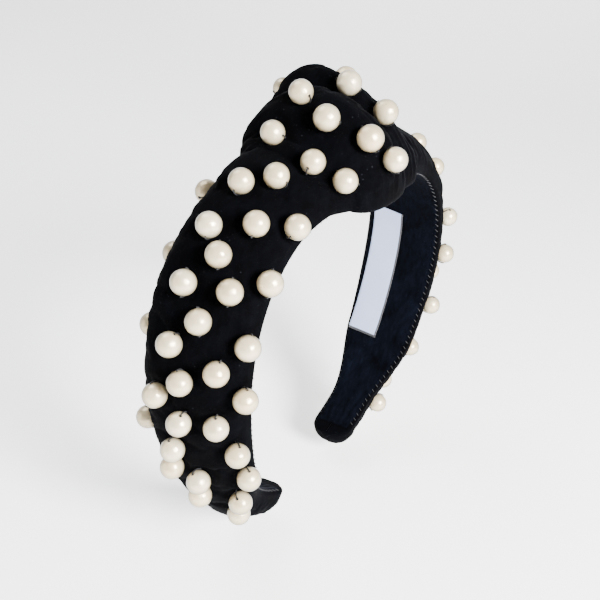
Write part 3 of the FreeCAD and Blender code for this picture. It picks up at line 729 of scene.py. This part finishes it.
# ------------------------------------------------------------------ lining: a sheet on the inner face of each side
def build_lining(side, sign, a1=156.6):
    rows, cols = 170, 34
    P = np.zeros((rows, cols, 3))
    for i in range(rows):
        angle = sign * (11.0 + (a1 - 11.0) * i / (rows - 1))
        hw = width(angle) / 2.0 - 0.9
        near_tip = step(146.0, a1, abs(angle))
        for j in range(cols):
            c = -1 + 2 * j / (cols - 1)
            off = -2.42 + 0.45 * abs(c) ** 14
            P[i, j] = point(angle, hw * c * (1 - 0.06 * near_tip), off - 0.1 * near_tip)
    N = grid_normals(P)
    if (N[:, 17] * (P[:, 17] - np.array(inner_mid))).sum() > 0:
        N = -N
        flip = True
    else:
        flip = False
    fade = edge_fade(P, 0, 0)
    d = creases(P, N, 0.15 * sign, 0.16, 16.0, 4.0, 9.0 + sign)
    # gathers where the lining is drawn under the knot and folded in at the tip
    ang = np.linspace(11.0, a1, rows)
    gather = np.exp(-((ang - 20.0) / 15.0) ** 2) + 0.8 * np.exp(-((ang - a1) / 7.0) ** 2)
    c = np.linspace(-1, 1, cols)
    ripple = np.sin(c[None, :] * 15.0 + 2.2 * np.sin(ang[:, None] * 0.21) + 0.9 * wave(P / 9.0, 1.0))
    d = d + 0.34 * gather[:, None] * ripple
    d = np.clip(d, -0.3, 0.55) * fade
    P = P + N * d[..., None]
    ob = mesh_from_grid("lining_fabric_" + side, P, flip)
    dress(ob, LINING)
    area = sum(p.area for p in ob.data.polygons)
    length = float(np.linalg.norm(np.diff(P[:, cols // 2], axis=0), axis=1).sum()) * MM
    return ob, area, length


lining_left, area_left, long_left = build_lining("left", -1)
lining_right, area_right, long_right = build_lining("right", 1)

# ------------------------------------------------------------------ the knot
def near_ramp(a):
    return -0.7 + 2.9 * step(-27.5, -18.0, a)


def far_ramp(a):
    return -0.7 + 2.9 * (1 - step(15.5, 24.5, a))


def build_knot(prefix, a0, a1, rmp, fold_seed):
    rows, cols = (92, 86)
    P = knot_grid(prefix, a0, a1, rows, cols, rmp)
    N = grid_normals(P)
    mid = cols // 2
    centre = np.array([(P[:, mid, 0].mean()), 0, -4.0])
    if (N[:, mid] * (P[:, mid] - centre)).sum() < 0:
        N = -N
        flip = True
    else:
        flip = False
    fade = edge_fade(P, 7, 0)
    # pleats run round the band, from the front foot to the back foot, and open out over the top
    ang = np.linspace(a0, a1, rows)[:, None]
    th = np.linspace(-1, 1, cols)[None, :]
    pinch = 0.35 + 0.65 * np.abs(th) ** 1.5
    pleat = np.sin(ang * 1.15 + 1.1 * np.sin(th * 2.2 + fold_seed) + fold_seed) + 0.6 * np.sin(ang * 2.3 + 2.0 * th + 1.7 * fold_seed)
    d = np.clip(0.08 + 0.24 * pinch * pleat + creases(P, N, 1.35, 0.2, 14.0, 5.0, fold_seed), -0.18, 0.9)
    P = P + N * (d * fade)[..., None]
    P = stitch_dimples(P, N, 0.3)
    ob = mesh_from_grid("knot_fabric_" + prefix, P, flip)
    settle(ob, free_weights(P, 9, 3), frames=14, pressure=2.2, grow=0.04)
    dress(ob, VELVET_KNOT)
    return ob


knot_near = build_knot("near", -27.5, 3.4, near_ramp, 0.6)
knot_far = build_knot("far", -1.2, 24.5, far_ramp, 2.1)


def build_underwrap():
    rows, cols = 40, 46
    P = np.zeros((rows, cols, 3))
    for i in range(rows):
        angle = -14.0 + 28.0 * i / (rows - 1)
        for j in range(cols):
            c = -1 + 2 * j / (cols - 1)
            e = max(abs(c), abs(angle) / 14.0)
            P[i, j] = point(angle, 21.4 * c, -3.2 + 0.75 * e ** 10)
    N = grid_normals(P)
    if (N[:, 20] * (P[:, 20] - np.array(inner_mid))).sum() > 0:
        N = -N
        flip = True
    else:
        flip = False
    ang = np.linspace(-14, 14, rows)[:, None]
    th = np.linspace(-1, 1, cols)[None, :]
    d = 0.16 * np.sin(ang * 1.3 + 0.8 * np.sin(th * 3)) + creases(P, N, 1.4, 0.08, 12, 4, 6.0)
    P = P + N * (d * edge_fade(P, 0, 0) - 0.05)[..., None]
    ob = mesh_from_grid("knot_tail_fabric", P, flip)
    dress(ob, VELVET)
    return ob


tail = build_underwrap()

# ------------------------------------------------------------------ blank label, its ends folded under
def build_label():
    rows, cols = 96, 26
    P = np.zeros((rows, cols, 3))
    for i in range(rows):
        f = i / (rows - 1)
        angle = 68.0 + 50.0 * f
        end = min(f, 1 - f) * 50.0
        lift = -2.78 - 0.22 * min(1.0, end / 0.7) - 0.16 * math.exp(-((end - 2.0) / 1.5) ** 2)
        for j in range(cols):
            c = j / (cols - 1)
            e = min(c, 1 - c) * 14.5
            off = lift + 0.16 * math.exp(-(e / 0.5) ** 2)
            P[i, j] = point(angle, 14.5 * c, off)
    N = grid_normals(P)
    if (N[:, 13] * (P[:, 13] - np.array(inner_mid))).sum() > 0:
        N = -N
        flip = True
    else:
        flip = False
    d = creases(P, N, 0.1, 0.07, 22, 7, 4.4)
    P = P + N * (d * edge_fade(P, 0, 0) * 1.0)[..., None]
    ob = mesh_from_grid("blank_label", P, flip)
    length = float(np.linalg.norm(np.diff(P[:, 13], axis=0), axis=1).sum()) * MM
    return ob, length


label, LABEL_LENGTH = build_label()
dress(label, label_material())
sol = label.modifiers.new("thick", "SOLIDIFY")
sol.thickness = 0.0003
sol.offset = -1.0

# ------------------------------------------------------------------ seam: small slanted stitches along both edges of the lining
def build_seam(side, sign):
    verts, faces = [], []
    rr, seg = 0.13, 6
    a = 27.0
    k = 0
    while a < 155.5:
        for s in (-1, 1):
            ang = sign * a
            hw = width(ang) / 2.0 - 0.85
            p = np.array(point(ang, s * (hw - 0.75), -2.62))
            q = np.array(point(ang + sign * 0.75, s * (hw + 0.55), -2.32))
            d = q - p
            d /= np.linalg.norm(d)
            up = np.cross(d, [0.3, 0.2, 0.9])
            up /= np.linalg.norm(up)
            w = np.cross(d, up)
            base = len(verts)
            for t, rad in ((0.0, 0.4), (0.25, 1.0), (0.75, 1.0), (1.0, 0.4)):
                c = p + (q - p) * t
                for m in range(seg):
                    an = 2 * math.pi * m / seg
                    verts.append(((c + rr * rad * (math.cos(an) * up + math.sin(an) * w)) * MM).tolist())
            for t in range(3):
                for m in range(seg):
                    n = (m + 1) % seg
                    faces.append((base + t * seg + m, base + t * seg + n, base + (t + 1) * seg + n, base + (t + 1) * seg + m))
            faces.append(tuple(base + m for m in reversed(range(seg))))
            faces.append(tuple(base + 3 * seg + m for m in range(seg)))
        a += 2.3
    me = bpy.data.meshes.new("seam_" + side)
    me.from_pydata(verts, [], faces)
    me.update()
    for p in me.polygons:
        p.use_smooth = True
    ob = bpy.data.objects.new("lining_seam_" + side, me)
    bpy.context.scene.collection.objects.link(ob)
    dress(ob, THREAD)
    return ob


seam_left, seam_right = build_seam("left", -1), build_seam("right", 1)

# ------------------------------------------------------------------ the CAD pieces the new meshes replace, and the bodies the knot and label ride on
for ob, side, sign in ((cover_left, "left", -1), (cover_right, "right", 1)):
    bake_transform(ob)
for ob, side, sign in ((lining_left, "left", -1), (lining_right, "right", 1), (seam_left, "left", -1), (seam_right, "right", 1)):
    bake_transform(ob)
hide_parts("velvet_cover_left", "velvet_tip_left")
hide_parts("velvet_cover_right", "velvet_tip_right", "velvet_cover_crown")
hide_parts("lining_left")
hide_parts("lining_right", "lining_crown")
for ob, prefix in ((knot_near, "near"), (knot_far, "far")):
    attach(ob, "crown")
    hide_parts("knot_wrap_" + prefix)
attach(tail, "crown")
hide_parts("knot_underwrap")
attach(label, "right_leg")
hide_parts("woven_label")

# ------------------------------------------------------------------ the CAD pieces that stay in sight or inside
for name, ob in nodes.items():
    if name.startswith("pearls"):
        dress(ob, PEARL)
        for p in ob.data.polygons:
            p.use_smooth = True
        ob.data.set_sharp_from_angle(angle=math.radians(40))
    elif name.startswith("threads") or name == "label_tacks":
        dress(ob, THREAD)
    elif name.startswith("foam") or name.startswith("knot_pad"):
        dress(ob, FOAM)
    elif name.startswith("spring"):
        dress(ob, PLASTIC)

# ------------------------------------------------------------------ floor, light and camera
floor_z = -0.1375
me = bpy.data.meshes.new("floor")
pts, fcs = [], []
path = [(-1.6, floor_z), (0.9, floor_z)]
arc = [(0.9 + 0.5 * math.sin(a), floor_z + 0.5 * (1 - math.cos(a))) for a in [math.radians(9 * k) for k in range(1, 11)]]
path = path + arc + [(1.4, 2.6)]
# the sweep runs away from the camera
az = math.radians(-59.22)
fwd = np.array([-math.sin(az), math.cos(az), 0.0])
side_v = np.array([math.cos(az), math.sin(az), 0.0])
for d, z in path:
    for w in (-2.6, 2.6):
        p = fwd * d + side_v * w
        pts.append((p[0], p[1], z))
for k in range(len(path) - 1):
    fcs.append((2 * k, 2 * k + 1, 2 * k + 3, 2 * k + 2))
me.from_pydata(pts, [], fcs)
me.update()
for p in me.polygons:
    p.use_smooth = True
floor = bpy.data.objects.new("floor", me)
bpy.context.scene.collection.objects.link(floor)
mf, tf, bf = new_material("pale_floor")
bf.inputs["Base Color"].default_value = (0.95, 0.95, 0.95, 1)
bf.inputs["Roughness"].default_value = 0.9
bf.inputs["Emission Color"].default_value = (1, 1, 1, 1)
bf.inputs["Emission Strength"].default_value = 0.95
dress(floor, mf)

el = math.radians(27.324)
roll = math.radians(6.138)
back = np.array([math.sin(az) * math.cos(el), -math.cos(az) * math.cos(el), math.sin(el)])
right = np.array([math.cos(az), math.sin(az), 0.0])
up = np.cross(back, right)
r2 = math.cos(roll) * right + math.sin(roll) * up
u2 = -math.sin(roll) * right + math.cos(roll) * up
eye = np.array([-0.2455558, -0.1389405, 0.0935954])
cam_data = bpy.data.cameras.new("camera")
cam_data.sensor_width = 36.0
cam_data.lens = 852.9 / 600.0 * 36.0
cam_data.clip_start = 0.01
cam_data.clip_end = 20
cam = bpy.data.objects.new("camera", cam_data)
bpy.context.scene.collection.objects.link(cam)
M = Matrix(((r2[0], u2[0], back[0], eye[0]), (r2[1], u2[1], back[1], eye[1]), (r2[2], u2[2], back[2], eye[2]), (0, 0, 0, 1)))
cam.matrix_world = M
bpy.context.scene.camera = cam

target = np.array([0.0, 0.0, -0.05])


def area_light(name, direction, distance, size, power, colour=(1, 1, 1), size_y=None):
    d = r2 * direction[0] + u2 * direction[1] + back * direction[2]
    d = d / np.linalg.norm(d)
    ld = bpy.data.lights.new(name, "AREA")
    ld.shape = "RECTANGLE" if size_y else "DISK"
    ld.size = size
    if size_y:
        ld.size_y = size_y
    ld.energy = power
    ld.color = colour
    lo = bpy.data.objects.new(name, ld)
    bpy.context.scene.collection.objects.link(lo)
    pos = target + d * distance
    z = Vector(d)
    lo.matrix_world = Matrix.Translation(Vector(pos)) @ z.to_track_quat("Z", "Y").to_matrix().to_4x4()
    return lo


area_light("key", (0.572, 0.04, 0.82), 0.75, 0.32, 34.0)
area_light("top", (-0.45, 1.0, 0.1), 1.0, 0.6, 7.0, (0.96, 0.98, 1.0))
area_light("left_fill", (-1.0, 0.15, 0.25), 1.1, 0.7, 3.5, (1.0, 0.97, 0.92))
area_light("back_rim", (0.2, 0.55, -1.0), 1.2, 0.8, 4.0)

world = bpy.data.worlds.new("studio")
bpy.context.scene.world = world
world.use_nodes = True
world.node_tree.nodes["Background"].inputs[0].default_value = (1, 1, 1, 1)
world.node_tree.nodes["Background"].inputs[1].default_value = 0.24

bpy.context.view_layer.update()
